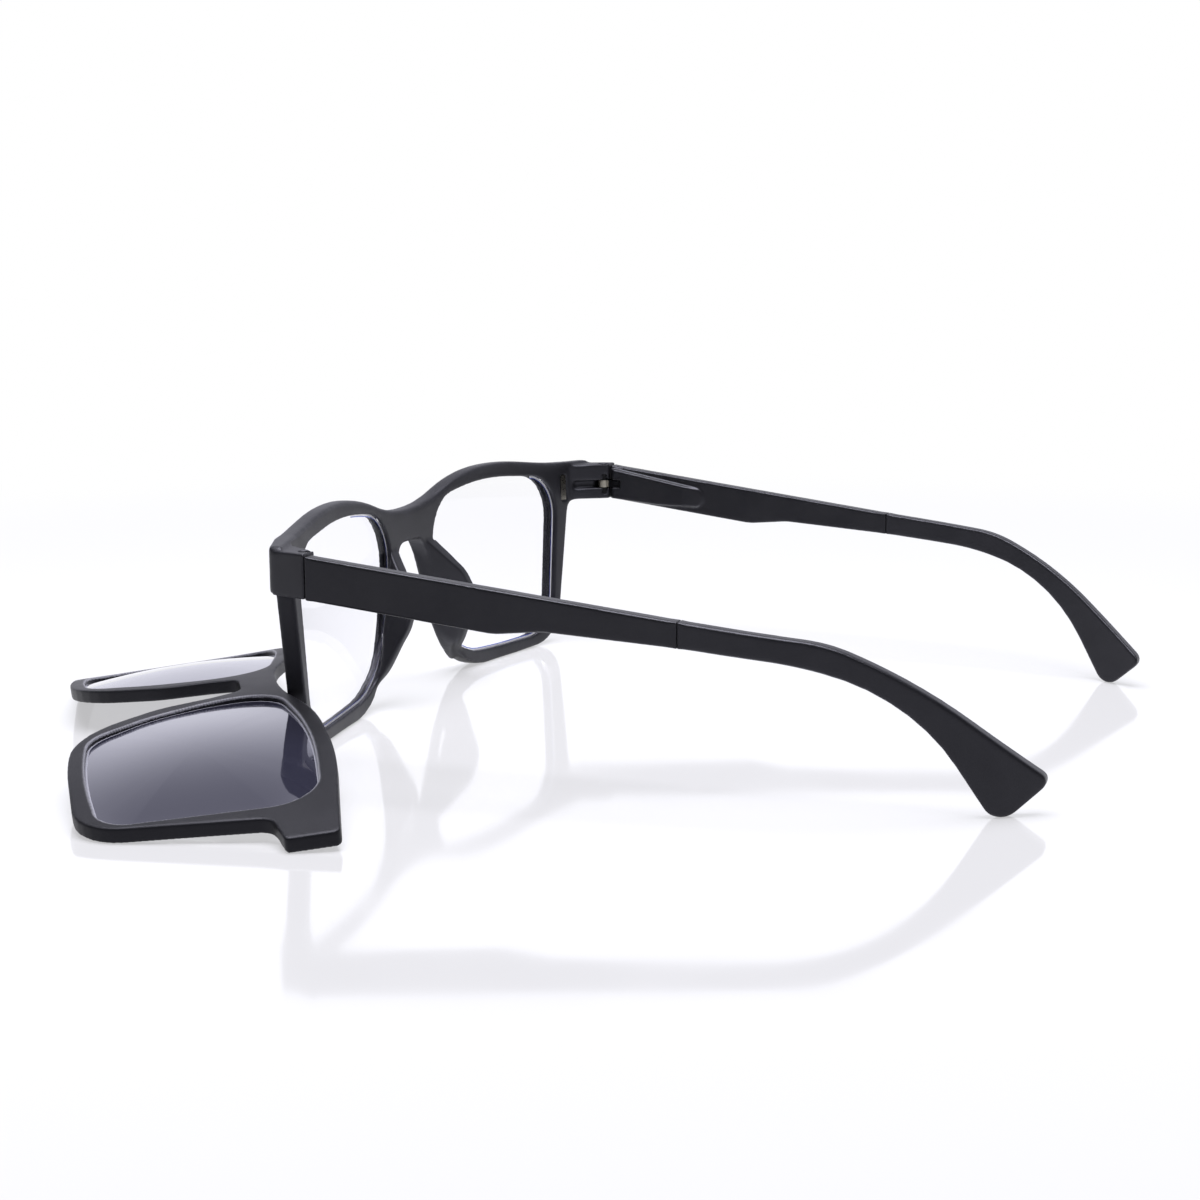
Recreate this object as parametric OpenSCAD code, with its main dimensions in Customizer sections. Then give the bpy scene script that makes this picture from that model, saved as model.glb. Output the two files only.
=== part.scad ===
// Full-rim plastic reading glasses with a magnetic sun clip, as they stand on a table.
// The glasses stand open on their rims and temple tips. The clip lies beside their left corner,
// front face up. Millimetres: +Z is up, the glasses look towards -Y, the wearer's left is +X.

/* [Front] */
// Width across the outer corners of the front
front_w = 140; // [132:1:150]
// Radius of the wrap, seen from above
wrap_r = 246; // [200:2:400]
// Thickness of the rims
front_t = 3.6; // [3.2:0.1:4.4]
// Lean of the front, its top forward of its bottom
front_lean = 1.8; // [0:0.1:3]
// Height of the bridge's top edge above the table
bridge_top = 36.5; // [35:0.25:38]
// Height of the bridge's underside above the table
bridge_under = 30; // [28:0.25:31]
// Height of the brow line above the table
brow_top = 41.7; // [41.2:0.1:43]

/* [Lenses] */
// Width of a lens opening
lens_w = 50; // [47:0.5:51]
// Height of a lens opening
lens_h = 37.1; // [35.5:0.1:37.5]
// Distance between the two lens openings at the nose
nose_gap = 18; // [17:0.25:21]
// Height of the rim below a lens
rim_bottom = 2.3; // [2:0.1:3]
// Depth of the groove that holds a lens
groove = 0.8; // [0.5:0.1:1]
// Thickness of a reading lens
lens_t = 1.8; // [1.2:0.1:2]
// How far a reading lens sits behind the front face
lens_set = 0.9; // [0.6:0.1:1.1]

/* [Nose pads] */
// How far the moulded nose pads reach behind the front face
pad_reach = 10.6; // [8:0.2:12]
// Thickness of a nose pad at its back edge
pad_t = 1.9; // [1.4:0.1:2.4]
// Slope of the nose pads from upright
pad_slope = 21; // [18:0.5:24]

/* [End pieces] */
// Height of the end piece's flat top above the table
end_top = 38.6; // [38:0.1:39.2]
// Height of the end piece, and of the temple where they meet
end_h = 7.7; // [7:0.1:8]
// Length of the end piece behind the front's outer corner
end_len = 8; // [7.5:0.1:9]
// Width of the end piece at the temple
end_t = 3.9; // [3.6:0.1:4.2]
// Gap between the end piece and the temple
seam = 0.15; // [0.1:0.05:0.3]

/* [Hinges] */
// Distance of the hinge pin from the outer face
pin_in = 3.4; // [3.2:0.05:3.6]
// Distance of the hinge pin from the end piece's back
pin_ahead = 1.5; // [1.4:0.1:1.8]
// Radius of the hinge pin
pin_r = 0.6; // [0.5:0.05:0.7]
// Thickness of the temple's hinge tongue
tongue_h = 1.5; // [1.2:0.1:1.7]
// Radius of the tongue's eye
eye_r = 1.2; // [1.1:0.05:1.3]
// Running clearance of the pin and the tongue
run = 0.04; // [0.02:0.01:0.08]
// Height of each knuckle of the front leaf
knuckle_h = 1.4; // [1:0.1:1.8]
// Length of the hinge's pull rod, from the pin to its end
rod_len = 17; // [15:0.5:20]
// Radius of the pull rod
rod_r = 0.45; // [0.4:0.05:0.55]
// Length of the coil spring on the pull rod
spring_len = 8; // [6:0.5:10]
// Number of coils in that spring
spring_coils = 7; // [5:1:10]
// Radius of the spring's wire
spring_wire = 0.16; // [0.12:0.01:0.2]

/* [Temples] */
// Inward slope of the open temples
splay = 3.3; // [2:0.1:4]
// Length of the temple's front part
arm_len = 64; // [60:0.5:70]
// Thickness of the temple
arm_t = 2.8; // [2.4:0.1:3.2]
// Length of the raised hinge housing inside the temple
housing_len = 23; // [22:0.5:26]
// Height of the temple at the seam of its tip
waist_h = 4.3; // [4:0.1:5]
// Depth of the temple under its widest place, near the waist
swell_h = 8; // [7.6:0.1:8.4]
// Radius of the tip's inward curve, seen from above
tip_bend = 99; // [90:1:120]
// Length of the tip before its inward curve
tip_straight = 7; // [5:0.5:12]
// Length of the tip past the seam
tip_len = 57.5; // [56:0.5:62]
// Radius of the wire core inside the tip
core_r = 0.6; // [0.4:0.05:0.7]
// Length of that core in the temple's front part
core_in_arm = 12; // [8:0.5:16]
// Length of that core in the tip
core_in_tip = 16; // [12:0.5:17]

/* [Magnets] */
// Height of a magnet bar
magnet_h = 5.4; // [4.5:0.1:5.8]
// Width of a magnet bar
magnet_w = 1.7; // [1.4:0.1:1.9]
// Depth of a magnet bar in the front
magnet_d = 1.6; // [1.2:0.1:2]
// Depth of a magnet bar in the clip
clip_magnet_d = 1.1; // [0.9:0.1:1.3]

/* [Sun clip] */
// Radius of the clip's wrap, seen from above
clip_r = 264; // [240:2:300]
// Thickness of the clip
clip_t = 2.4; // [2:0.1:2.8]
// Thickness of a sun lens
sun_t = 0.8; // [0.6:0.1:1]
// How far a sun lens sits behind the clip's face
sun_set = 1.1; // [0.8:0.1:1.2]
// Tilt of the lying clip, its brow higher than its lower edge
clip_lean = 6.4; // [5:0.05:8]
// Turn of the lying clip on the table
clip_turn = 34; // [32:0.5:38]
// Place of the lying clip's bottom middle, left of the glasses' middle
clip_x = 72.2; // [71:0.1:78]
// Place of the lying clip's bottom middle, ahead of the glasses' bridge
clip_ahead = 29.1; // [29:0.1:36]

/* [Hidden] */
$fn = 48;

// Middle of the whole set on the table, from the middle of the glasses' front
set_middle = [22.2, 40];
// Clearance of a piece that is pressed or moulded into plastic
snug = 0.05;
// Faces on each rounded corner of an outline
corner_steps = 7;
far = 300;

half_w = front_w / 2;
open_x0 = nose_gap / 2;
open_x1 = open_x0 + lens_w;
open_z1 = rim_bottom + lens_h;
side_rim = 3.6;
end_bottom = end_top - end_h;
// Longer than the whole set, for cuts that go right through
tall = 300;
wrap_y = wrap_r - sqrt(wrap_r * wrap_r - half_w * half_w);
wrap_turn = asin(half_w / wrap_r);

// Corners of outlines are [across, up, radius], listed clockwise from the front.
lens_corners = [
    [open_x0 - 0.4, open_z1 - 3.4, 10],
    [open_x0 + 21, open_z1, 88],
    [open_x1, open_z1 - 3.1, 9],
    [open_x1 - 3.6, rim_bottom, 9],
    [open_x0 + 27, rim_bottom, 200],
    [open_x0 + 6.6, rim_bottom + 1.3, 17],
    [open_x0 + 0.6, bridge_under - 5.5, 20],
];
half_corners = [
    [8, bridge_top + 0.1, 45],
    [open_x0 + 15, brow_top - 0.1, 62],
    [open_x0 + 31, brow_top, 90],
    [half_w - 10, end_top + 0.4, 135],
    [half_w, end_top + 0.2, 0.8],
    [half_w, end_bottom, 0.8],
    [open_x1 + side_rim, end_bottom - 0.7, 2.5],
    [open_x1 - 1.8, 0.2, 9],
    [open_x0 + 25, -0.45, 100],
    [open_x0 + 8.3, 0.6, 18],
    [open_x0 - 1.8, bridge_under - 4, 20],
    [open_x0 - 4.5, bridge_under, 3],
];
// The clip is a little fuller than the front at the brow and the nose.
sun_corners = [
    [open_x0 - 0.1, open_z1 - 4, 8],
    [open_x0 + 25, open_z1 + 0.2, 110],
    [open_x1 + 1.3, open_z1 - 1.8, 8],
    [open_x1 - 2, rim_bottom + 1.7, 6],
    [open_x0 + 29, rim_bottom - 0.35, 120],
    [open_x0 + 11.4, rim_bottom + 0.9, 9],
    [open_x0 + 3.9, rim_bottom + 11.9, 30],
    [open_x0 + 0.2, bridge_under - 5.2, 20],
];
clip_corners = [
    [8, bridge_top + 0.1, 45],
    [open_x0 + 15, brow_top - 0.5, 58],
    [open_x0 + 35, brow_top + 0.5, 90],
    [half_w + 0.2, end_top + 0.6, 1.2],
    [half_w - 0.2, end_bottom - 0.1, 0.8],
    [open_x1 + 4.2, end_bottom - 1.3, 3],
    [open_x1 - 1.8, 0.2, 9],
    [open_x0 + 25, -0.45, 100],
    [open_x0 + 8.8, 0.6, 20],
    [open_x0 - 0.7, bridge_under - 14.5, 12],
    [open_x0 - 2.6, bridge_under - 5, 15],
    [open_x0 - 4.5, bridge_under, 3],
];

function unit(v) = v / norm(v);
function flat(p) = [p.x, p.y];
function round_corner(a, p, b, n) =
    let (u = unit(flat(a) - flat(p)), v = unit(flat(b) - flat(p)), half = acos(u * v) / 2)
    let (c = flat(p) + unit(u + v) * p.z / sin(half))
    let (s = flat(p) + u * p.z / tan(half) - c, e = flat(p) + v * p.z / tan(half) - c)
    let (a1 = atan2(s.y, s.x), raw = atan2(e.y, e.x) - a1)
    let (turn = raw > 180 ? raw - 360 : raw < -180 ? raw + 360 : raw)
    [for (i = [0 : n]) c + p.z * [cos(a1 + turn * i / n), sin(a1 + turn * i / n)]];
function around(c, i) = c[(i + len(c)) % len(c)];
// A corner's arc takes this much of each of its sides. Where two arcs would meet, both are made smaller.
function toward(c, i, j) = unit(flat(around(c, j)) - flat(around(c, i)));
function taken(c, i) = around(c, i).z / tan(acos(toward(c, i, i - 1) * toward(c, i, i + 1)) / 2);
function side_len(c, i) = norm(flat(around(c, i + 1)) - flat(around(c, i)));
function spare(c, i) = 0.98 * side_len(c, i) / (taken(c, i) + taken(c, i + 1) + 0.001);
function fitted(c) = [
    for (i = [0 : len(c) - 1])
        [c[i].x, c[i].y, c[i].z * min(1, spare(c, i - 1), spare(c, i))]
];
function arcs(c) = [
    for (i = [0 : len(c) - 1])
        each c[i].z == 0 ? [flat(c[i])] : round_corner(around(c, i - 1), c[i], around(c, i + 1), corner_steps)
];
function rounded(c) = arcs(fitted(c));
// The same corners with every edge moved outwards by d
function edge_normal(a, b) = let (d = unit(flat(b) - flat(a))) [-d.y, d.x];
function grown(c, d) = [
    for (i = [0 : len(c) - 1])
        let (m = edge_normal(around(c, i - 1), c[i]), n = edge_normal(c[i], around(c, i + 1)))
        let (p = flat(c[i]) + d * (m + n) / (1 + m * n))
        [p.x, p.y, c[i].z + d]
];
function mirrored(points) = [for (i = [len(points) - 1 : -1 : 0]) [-points[i].x, points[i].y]];
function half_outline(corners) = rounded([[0, bridge_top, 0], each corners, [0, bridge_under, 0]]);
function whole_outline(corners) = let (half = half_outline(corners))
    concat(half, [for (p = mirrored(half)) if (p.x != 0) p]);

// An outline drawn in X and Z, as a prism along Y
module prism(outline, y0 = -far, y1 = far) {
    translate([0, y1, 0])
        rotate([90, 0, 0])
            linear_extrude(height = y1 - y0)
                polygon(outline);
}

// The curved wall between two distances behind the front's face
module wrapped(first, last, r = wrap_r) {
    translate([0, r, -tall / 2])
        difference() {
            cylinder(r = r - first, h = tall, $fn = 240);
            translate([0, 0, -1])
                cylinder(r = r - last, h = tall + 2, $fn = 240);
        }
}

module wrapped_prism(outline, first, last, r = wrap_r) {
    intersection() {
        wrapped(first, last, r);
        prism(outline);
    }
}

module standing() {
    translate([-set_middle.x, -set_middle.y, 0])
        children();
}

module leaning() {
    rotate([front_lean, 0, 0])
        children();
}

module on_side(side) {
    if (side < 0)
        mirror([1, 0, 0])
            children();
    else
        children();
}

// Places on the end piece, seen from above, for the wearer's left
seam_out = [half_w + end_len * tan(wrap_turn), wrap_y + end_len];
seam_in = [seam_out.x - end_t, seam_out.y];
pin = [seam_out.x - pin_in, seam_out.y - pin_ahead];
tongue_z = end_top - 4.45 - tongue_h / 2;
leaf_z0 = tongue_z - 0.1 - knuckle_h;
leaf_z1 = tongue_z + tongue_h + 0.1;
screw_head_z = end_top - 1.25;
screw_head_h = 0.9;
screw_head_r = 1.05;
magnet_x = open_x1 + 2.2;
clip_magnet_x = magnet_x + 0.7;
magnet_z = end_bottom + 2.6;

module end_block() {
    translate([0, 0, end_bottom])
        linear_extrude(height = end_h)
            polygon([
                [open_x1 + 2.4, wrap_y - 2.6],
                [half_w + 1, wrap_y + 1],
                seam_out + [1, 0],
                seam_in,
                [open_x1 + 4.4, wrap_y + 0.9],
            ]);
}

module nose_pad() {
    // Side view of the pad, behind the front face
    side_view = rounded([
        [0.8, bridge_under + 1.5, 0],
        [3.4, bridge_under - 0.4, 4],
        [pad_reach - 1.5, bridge_under - 7.8, 5],
        [pad_reach, 16.5, 7],
        [pad_reach - 4.6, 7.2, 12],
        [1, 0.6, 0],
    ]);
    intersection() {
        // Its lower end follows the rim.
        prism(rounded(grown([[0, bridge_top, 0], each half_corners, [0, bridge_under, 0]], 0.5)), 0, front_t * 5);
        translate([open_x0 + 2.2, 0, 16.6])
            rotate([0, -pad_slope, 0])
                translate([0, 0, -20])
                    linear_extrude(height = 40)
                        polygon([
                            [-0.8, 0.6],
                            [0, front_t + 0.6],
                            [2.6, pad_reach + 1],
                            [2.6 + pad_t, pad_reach + 1],
                            [3.9, 5.6],
                            [3.3, front_t - 0.3],
                            [3.3, 0.6],
                        ]);
        rotate([90, 0, 90])
            linear_extrude(height = 40)
                polygon(side_view);
    }
}

// Front leaf of the hinge. Its pocket in the plastic is the same shape, grown by a clearance.
module front_leaf_shape(grow) {
    for (z = [leaf_z0, leaf_z1]) {
        translate([pin.x, pin.y, z - grow])
            cylinder(r = eye_r + grow, h = knuckle_h + 2 * grow);
        translate([pin.x - grow, pin.y - 3.4, z - grow])
            cube([eye_r + 2 * grow, 3.4, knuckle_h + 2 * grow]);
    }
    translate([pin.x - grow, pin.y - 3.4 - grow, leaf_z0 - grow])
        cube([eye_r + 2 * grow, 1.5 + 2 * grow, leaf_z1 + knuckle_h - leaf_z0 + 2 * grow]);
}

module hinge_bore(r, z0, z1) {
    translate([pin.x, pin.y, z0])
        cylinder(r = r, h = z1 - z0);
}

module tongue_slot() {
    wide = eye_r + 0.45;
    translate([0, 0, tongue_z - 0.1])
        linear_extrude(height = tongue_h + 0.2)
            polygon([
                [pin.x - 8, wrap_y + 1.2],
                [pin.x - 4.2, wrap_y + 1.2],
                [pin.x - 1.5, pin.y - wide],
                [pin.x + 0.6 * wide, pin.y - wide],
                [pin.x + wide, pin.y - 0.6 * wide],
                [pin.x + wide, seam_out.y + 1],
                [pin.x - 8, seam_out.y + 1],
            ]);
}

module magnet_bar(first, depth, grow, r = wrap_r, x = magnet_x) {
    intersection() {
        wrapped(first - grow, first + depth + grow, r);
        translate([x - magnet_w / 2 - grow, -front_t * 5, magnet_z - magnet_h / 2 - grow])
            cube([magnet_w + 2 * grow, front_t * 15, magnet_h + 2 * grow]);
    }
}

// What is left of the front, seen from above: its outer corners turn back to the end pieces.
front_limit = [
    [0, -20, 0],
    [half_w - 22, -20, 0],
    [half_w - 22, wrap_y - 9.5, 0],
    [half_w, wrap_y + 0.15, 1],
    [seam_out.x, seam_out.y, 0],
    [0, seam_out.y, 0],
];

module front_side_solid() {
    end_block();
    leaning()
        nose_pad();
}

module front_side_cuts() {
    leaning() {
        wrapped_prism(rounded(lens_corners), -2, front_t + 0.02);
        wrapped_prism(rounded(grown(lens_corners, groove + snug)), lens_set - snug, lens_set + lens_t + snug);
        magnet_bar(front_t - magnet_d, magnet_d + 1, snug);
    }
    tongue_slot();
    front_leaf_shape(snug);
    hinge_bore(pin_r + snug, leaf_z0 - 0.8, end_top + 1);
    hinge_bore(screw_head_r + snug, screw_head_z - snug, end_top + 1);
}

module front_frame() {
    color("#2b2b2f")
        standing()
            difference() {
                intersection() {
                    union() {
                        leaning()
                            wrapped_prism(whole_outline(half_corners), 0, front_t);
                        for (side = [1, -1])
                            on_side(side)
                                front_side_solid();
                    }
                    linear_extrude(height = tall)
                        polygon(concat(rounded(front_limit), mirrored(rounded(front_limit))));
                }
                for (side = [1, -1])
                    on_side(side)
                        front_side_cuts();
            }
}

module reading_lens(side) {
    color("#cfd8e6", 0.35)
        standing()
            on_side(side)
                leaning()
                    wrapped_prism(rounded(grown(lens_corners, groove)), lens_set, lens_set + lens_t);
}

module front_magnet(side) {
    color("#b9b4a8")
        standing()
            on_side(side)
                leaning()
                    magnet_bar(front_t - magnet_d, magnet_d - 0.2, 0);
}

module hinge_front_leaf(side) {
    color("#a9a49a")
        standing()
            on_side(side)
                difference() {
                    front_leaf_shape(0);
                    hinge_bore(pin_r + run, leaf_z0 - 1, leaf_z1 + knuckle_h + 1);
                }
}

module hinge_screw(side) {
    color("#d3cfc6")
        standing()
            on_side(side)
                difference() {
                    union() {
                        hinge_bore(pin_r, leaf_z0 - 0.7, screw_head_z + 0.1);
                        hinge_bore(screw_head_r, screw_head_z, screw_head_z + screw_head_h);
                    }
                    translate([pin.x - 2, pin.y - 0.15, screw_head_z + screw_head_h - 0.4])
                        cube([4, 0.3, 1]);
                }
}

// The temple's own axes: from the hinge pin, +Y along the temple, +X outwards.
module at_temple(side) {
    standing()
        on_side(side)
            translate([pin.x, pin.y, 0])
                rotate([0, 0, splay])
                    children();
}

outer_x = pin_in * cos(splay) + pin_ahead * sin(splay);
arm_y0 = (pin_ahead + seam) / cos(splay);
arm_y1 = arm_y0 + arm_len;
arm_top0 = end_top - 0.45;
arm_bottom0 = end_bottom;
waist_top = 30.5;
waist_bottom = waist_top - waist_h;
tongue_mid = tongue_z + tongue_h / 2;
rod_x = 1;
rod_y = 4.2;
tongue_x0 = -0.3;
tongue_x1 = 1.5;
shoulder = 1;
rod_drop = 6.6;
stop_len = 1.2;
stop_r = 0.9;
spring_r = 0.86;
cavity_r = 1.0;
tip_y1 = arm_y1 + tip_len;

// Side view of a temple, in the temple's Y and Z
arm_view = [
    [arm_y0 - 1, arm_top0 + 0.119, 0],
    [arm_y1, waist_top, 0],
    [arm_y1, waist_bottom, 0],
    [arm_y1 - 22.5, waist_bottom + 1.45, 12],
    [arm_y1 - 31, arm_top0 - 0.119 * (arm_len - 31) - swell_h + 0.6, 12],
    [arm_y0 - 1, arm_bottom0, 0],
];
tip_view = [
    [arm_y1 + snug, waist_top, 0],
    [arm_y1 + 23.7, waist_top - 2.6, 32],
    [tip_y1 - 20.5, 22.1, 98],
    [tip_y1, 5.6, 1.5],
    [tip_y1 - 8, -1.58, 3],
    [tip_y1 - 21.2, 20, 33],
    [arm_y1 + 18, waist_bottom - 1.75, 58],
    [arm_y1 + snug, waist_bottom, 0],
];

module side_prism(outline, x0, x1) {
    translate([x0, 0, 0])
        rotate([90, 0, 90])
            linear_extrude(height = x1 - x0)
                polygon(rounded(outline));
}

// Axes of the pull rod: from the tongue's end, +Z along the rod
module along_rod() {
    translate([rod_x, rod_y, tongue_mid])
        rotate([-90 - rod_drop, 0, 0])
            children();
}

module housing() {
    top = arm_top0 - 0.6;
    outline = rounded([
        [arm_y0 - 1, top + 0.176, 0],
        [arm_y0 + 21, top - 3.7, 1],
        [arm_y0 + housing_len, top - 5.6, 1.8],
        [arm_y0 + 21, top - 7.7, 1],
        [arm_y0 + 12, top - 7.6, 20],
        [arm_y0 - 1, arm_bottom0 + 0.1, 0],
    ]);
    intersection() {
        translate([-end_t * 2, 0, 0])
            rotate([90, 0, 90])
                linear_extrude(height = end_t * 3)
                    polygon(outline);
        translate([0, 0, -tall / 2])
            linear_extrude(height = tall)
                polygon([
                    [outer_x - arm_t + 0.4, arm_y0 - 1],
                    [outer_x - end_t + 0.7, arm_y0 - 1],
                    [outer_x - end_t + 0.7, arm_y0],
                    [outer_x - end_t, arm_y0 + 0.8],
                    [outer_x - end_t, arm_y0 + 17.5],
                    [outer_x - arm_t - 0.3, arm_y0 + housing_len - 1],
                    [outer_x - arm_t + 0.4, arm_y0 + housing_len + 1],
                ]);
    }
}

module temple_arm(side) {
    color("#26262a")
        at_temple(side)
            difference() {
                union() {
                    side_prism(arm_view, outer_x - arm_t, outer_x);
                    housing();
                }
                // The front end is cut parallel to the end piece's back.
                rotate([0, 0, -splay])
                    translate([-tall / 2, -tall, 0])
                        cube([tall, tall + pin_ahead + seam, tall]);
                translate([-4, 0, tongue_z - 0.1])
                    cube([4 + tongue_x1 + 0.15, rod_y, tongue_h + 0.2]);
                along_rod() {
                    translate([0, 0, -0.5])
                        cylinder(r = rod_r + 0.06, h = 3);
                    translate([0, 0, shoulder])
                        cylinder(r = cavity_r, h = rod_len - rod_y + stop_len - 0.6 - shoulder);
                }
                tip_core_shape(snug);
            }
}

// A wall that runs straight behind the seam and then curves inwards, seen from above
module tip_wall(x0, x1) {
    bend_y = arm_y1 + tip_straight;
    translate([outer_x + x0, arm_y1 + snug, -tall / 2])
        cube([x1 - x0, tip_straight - snug, tall]);
    intersection() {
        translate([outer_x - tip_bend, bend_y, -tall / 2])
            difference() {
                cylinder(r = tip_bend + x1, h = tall, $fn = 240);
                translate([0, 0, -1])
                    cylinder(r = tip_bend + x0, h = tall + 2, $fn = 240);
            }
        translate([outer_x - tip_bend, bend_y, -tall])
            cube([2 * tip_bend, tip_bend, 2 * tall]);
    }
}

module temple_tip(side) {
    color("#232327")
        at_temple(side)
            difference() {
                intersection() {
                    tip_wall(-arm_t, 0);
                    side_prism(tip_view, outer_x - tip_len, outer_x + 1);
                }
                tip_core_shape(snug);
            }
}

// A straight wire from the temple's front part into its tip
module tip_core_shape(grow) {
    translate([outer_x - arm_t / 2, arm_y1, waist_top - waist_h / 2])
        rotate([-94.5, 0, 0])
            translate([0, 0, -core_in_arm - grow])
                cylinder(r = core_r + grow, h = core_in_arm + core_in_tip + 2 * grow);
}

module tip_core(side) {
    color("#8f8f93")
        at_temple(side)
            tip_core_shape(0);
}

module hinge_temple_leaf(side) {
    color("#a9a49a")
        at_temple(side)
            difference() {
                union() {
                    translate([0, 0, tongue_z])
                        cylinder(r = eye_r, h = tongue_h);
                    translate([tongue_x0, 0, tongue_z])
                        cube([tongue_x1 - tongue_x0, rod_y - 0.1, tongue_h]);
                    along_rod()
                        translate([0, 0, -0.4])
                            cylinder(r = rod_r, h = rod_len - rod_y + 0.4);
                }
                translate([0, 0, tongue_z - 1])
                    cylinder(r = pin_r + run, h = tongue_h + 2);
            }
}

spring_z0 = 1.2;
function coil_point(t) = spring_z0 + spring_wire + (spring_len - 2 * spring_wire) * t;
function coil_ring(t) = let (a = 360 * spring_coils * t, m = spring_r - spring_wire) [
    for (k = [0 : 5])
        [
            (m + spring_wire * cos(60 * k)) * cos(a),
            (m + spring_wire * cos(60 * k)) * sin(a),
            coil_point(t) + spring_wire * sin(60 * k),
        ]
];

module coil_spring() {
    rings = 8 * spring_coils;
    points = [for (i = [0 : rings]) each coil_ring(i / rings)];
    last = 6 * rings;
    walls = [
        for (i = [0 : rings - 1], k = [0 : 5])
            let (a = 6 * i + k, b = 6 * i + (k + 1) % 6)
            each [[a, a + 6, b], [b, a + 6, b + 6]]
    ];
    caps = [
        for (k = [1 : 4])
            each [[0, k, k + 1], [last, last + k + 1, last + k]]
    ];
    polyhedron(points = points, faces = concat(walls, caps));
}

module hinge_spring(side) {
    color("#bdbdbd")
        at_temple(side)
            along_rod()
                coil_spring();
}

module spring_stop(side) {
    color("#c2b06a")
        at_temple(side)
            along_rod()
                translate([0, 0, spring_z0 + spring_len + 0.05])
                    difference() {
                        cylinder(r = stop_r, h = stop_len);
                        translate([0, 0, -1])
                            cylinder(r = rod_r + 0.02, h = stop_len + 2);
                    }
}

// The clip is made upright, as it is worn, and then laid on the table on its back.
// How far each point of its back hangs below its bottom middle; the lowest one touches the table.
function hang(p) = (clip_r - sqrt(clip_r * clip_r - p.x * p.x)) * cos(clip_lean) - p.y * sin(clip_lean);
clip_z = max([for (p = half_outline(clip_corners)) hang(p)]);

module lying() {
    standing()
        translate([clip_x, -clip_ahead, clip_z])
            rotate([0, 0, clip_turn])
                rotate([clip_lean - 90, 0, 0])
                    children();
}

module clip_frame() {
    color("#313136")
        lying()
            difference() {
                wrapped_prism(whole_outline(clip_corners), -clip_t, 0, clip_r);
                for (side = [1, -1])
                    on_side(side) {
                        prism(rounded(sun_corners));
                        wrapped_prism(
                            rounded(grown(sun_corners, groove + snug)),
                            sun_set - clip_t - snug,
                            sun_set - clip_t + sun_t + snug,
                            clip_r
                        );
                        magnet_bar(-clip_magnet_d, clip_magnet_d + 1, snug, clip_r, clip_magnet_x);
                    }
            }
}

module sun_lens(side) {
    color("#4a4a58", 0.7)
        lying()
            on_side(side)
                wrapped_prism(
                    rounded(grown(sun_corners, groove)),
                    sun_set - clip_t,
                    sun_set - clip_t + sun_t,
                    clip_r
                );
}

module clip_magnet(side) {
    color("#b9b4a8")
        lying()
            on_side(side)
                magnet_bar(-clip_magnet_d, clip_magnet_d - 0.1, 0, clip_r, clip_magnet_x);
}

front_frame();
reading_lens(1);  // reading_lens_left
reading_lens(-1);  // reading_lens_right
front_magnet(1);  // front_magnet_left
front_magnet(-1);  // front_magnet_right
hinge_front_leaf(1);  // hinge_front_leaf_left
hinge_front_leaf(-1);  // hinge_front_leaf_right
hinge_temple_leaf(1);  // hinge_temple_leaf_left
hinge_temple_leaf(-1);  // hinge_temple_leaf_right
hinge_screw(1);  // hinge_screw_left
hinge_screw(-1);  // hinge_screw_right
hinge_spring(1);  // hinge_spring_left
hinge_spring(-1);  // hinge_spring_right
spring_stop(1);  // spring_stop_left
spring_stop(-1);  // spring_stop_right
temple_arm(1);  // temple_arm_left
temple_arm(-1);  // temple_arm_right
temple_tip(1);  // temple_tip_left
temple_tip(-1);  // temple_tip_right
tip_core(1);  // tip_core_left
tip_core(-1);  // tip_core_right
clip_frame();
sun_lens(1);  // sun_lens_left
sun_lens(-1);  // sun_lens_right
clip_magnet(1);  // clip_magnet_left
clip_magnet(-1);  // clip_magnet_right
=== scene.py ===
# %% [markdown]
# # Reading glasses with a magnetic sun clip
# The glasses stand open on a white table, on the lower rims and the temple tips. The sun clip lies
# beside their left corner, front face up. The construction model gives every piece its place and
# size. This notebook gives them the look of moulded plastic, lens and metal, piece by piece.

import math

import bmesh
import bpy
import numpy as np
from mathutils import Euler, Matrix, Vector


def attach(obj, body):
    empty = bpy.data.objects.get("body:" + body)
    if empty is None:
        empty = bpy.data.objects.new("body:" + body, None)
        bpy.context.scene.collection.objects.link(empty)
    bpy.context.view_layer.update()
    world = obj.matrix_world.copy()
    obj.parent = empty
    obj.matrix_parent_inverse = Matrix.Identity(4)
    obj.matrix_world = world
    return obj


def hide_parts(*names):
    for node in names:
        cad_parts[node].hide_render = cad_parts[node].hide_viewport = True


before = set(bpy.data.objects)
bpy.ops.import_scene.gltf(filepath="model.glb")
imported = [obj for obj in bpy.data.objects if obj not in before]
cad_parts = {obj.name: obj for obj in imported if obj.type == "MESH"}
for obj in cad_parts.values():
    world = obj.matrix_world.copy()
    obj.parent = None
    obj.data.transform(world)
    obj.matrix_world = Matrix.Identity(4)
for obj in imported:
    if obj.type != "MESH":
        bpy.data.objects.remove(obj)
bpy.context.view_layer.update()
print("nodes:", len(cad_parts))

# %% [markdown]
# ## Measures
# The same values as in the construction, in millimetres, in the frame of the glasses: the middle
# of the bridge is X 0, the table is Z 0 and the temples run along +Y. One shift takes them to the
# row's frame, whose origin is under the middle of the whole set. PIN is the left hinge's axis.
# ARM_END and the pull rod's measures are in the temple's own frame, which starts at its hinge.
# LENS_MIDDLE and LENS_HALF are rounded and only set where the lenses dome.

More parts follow.
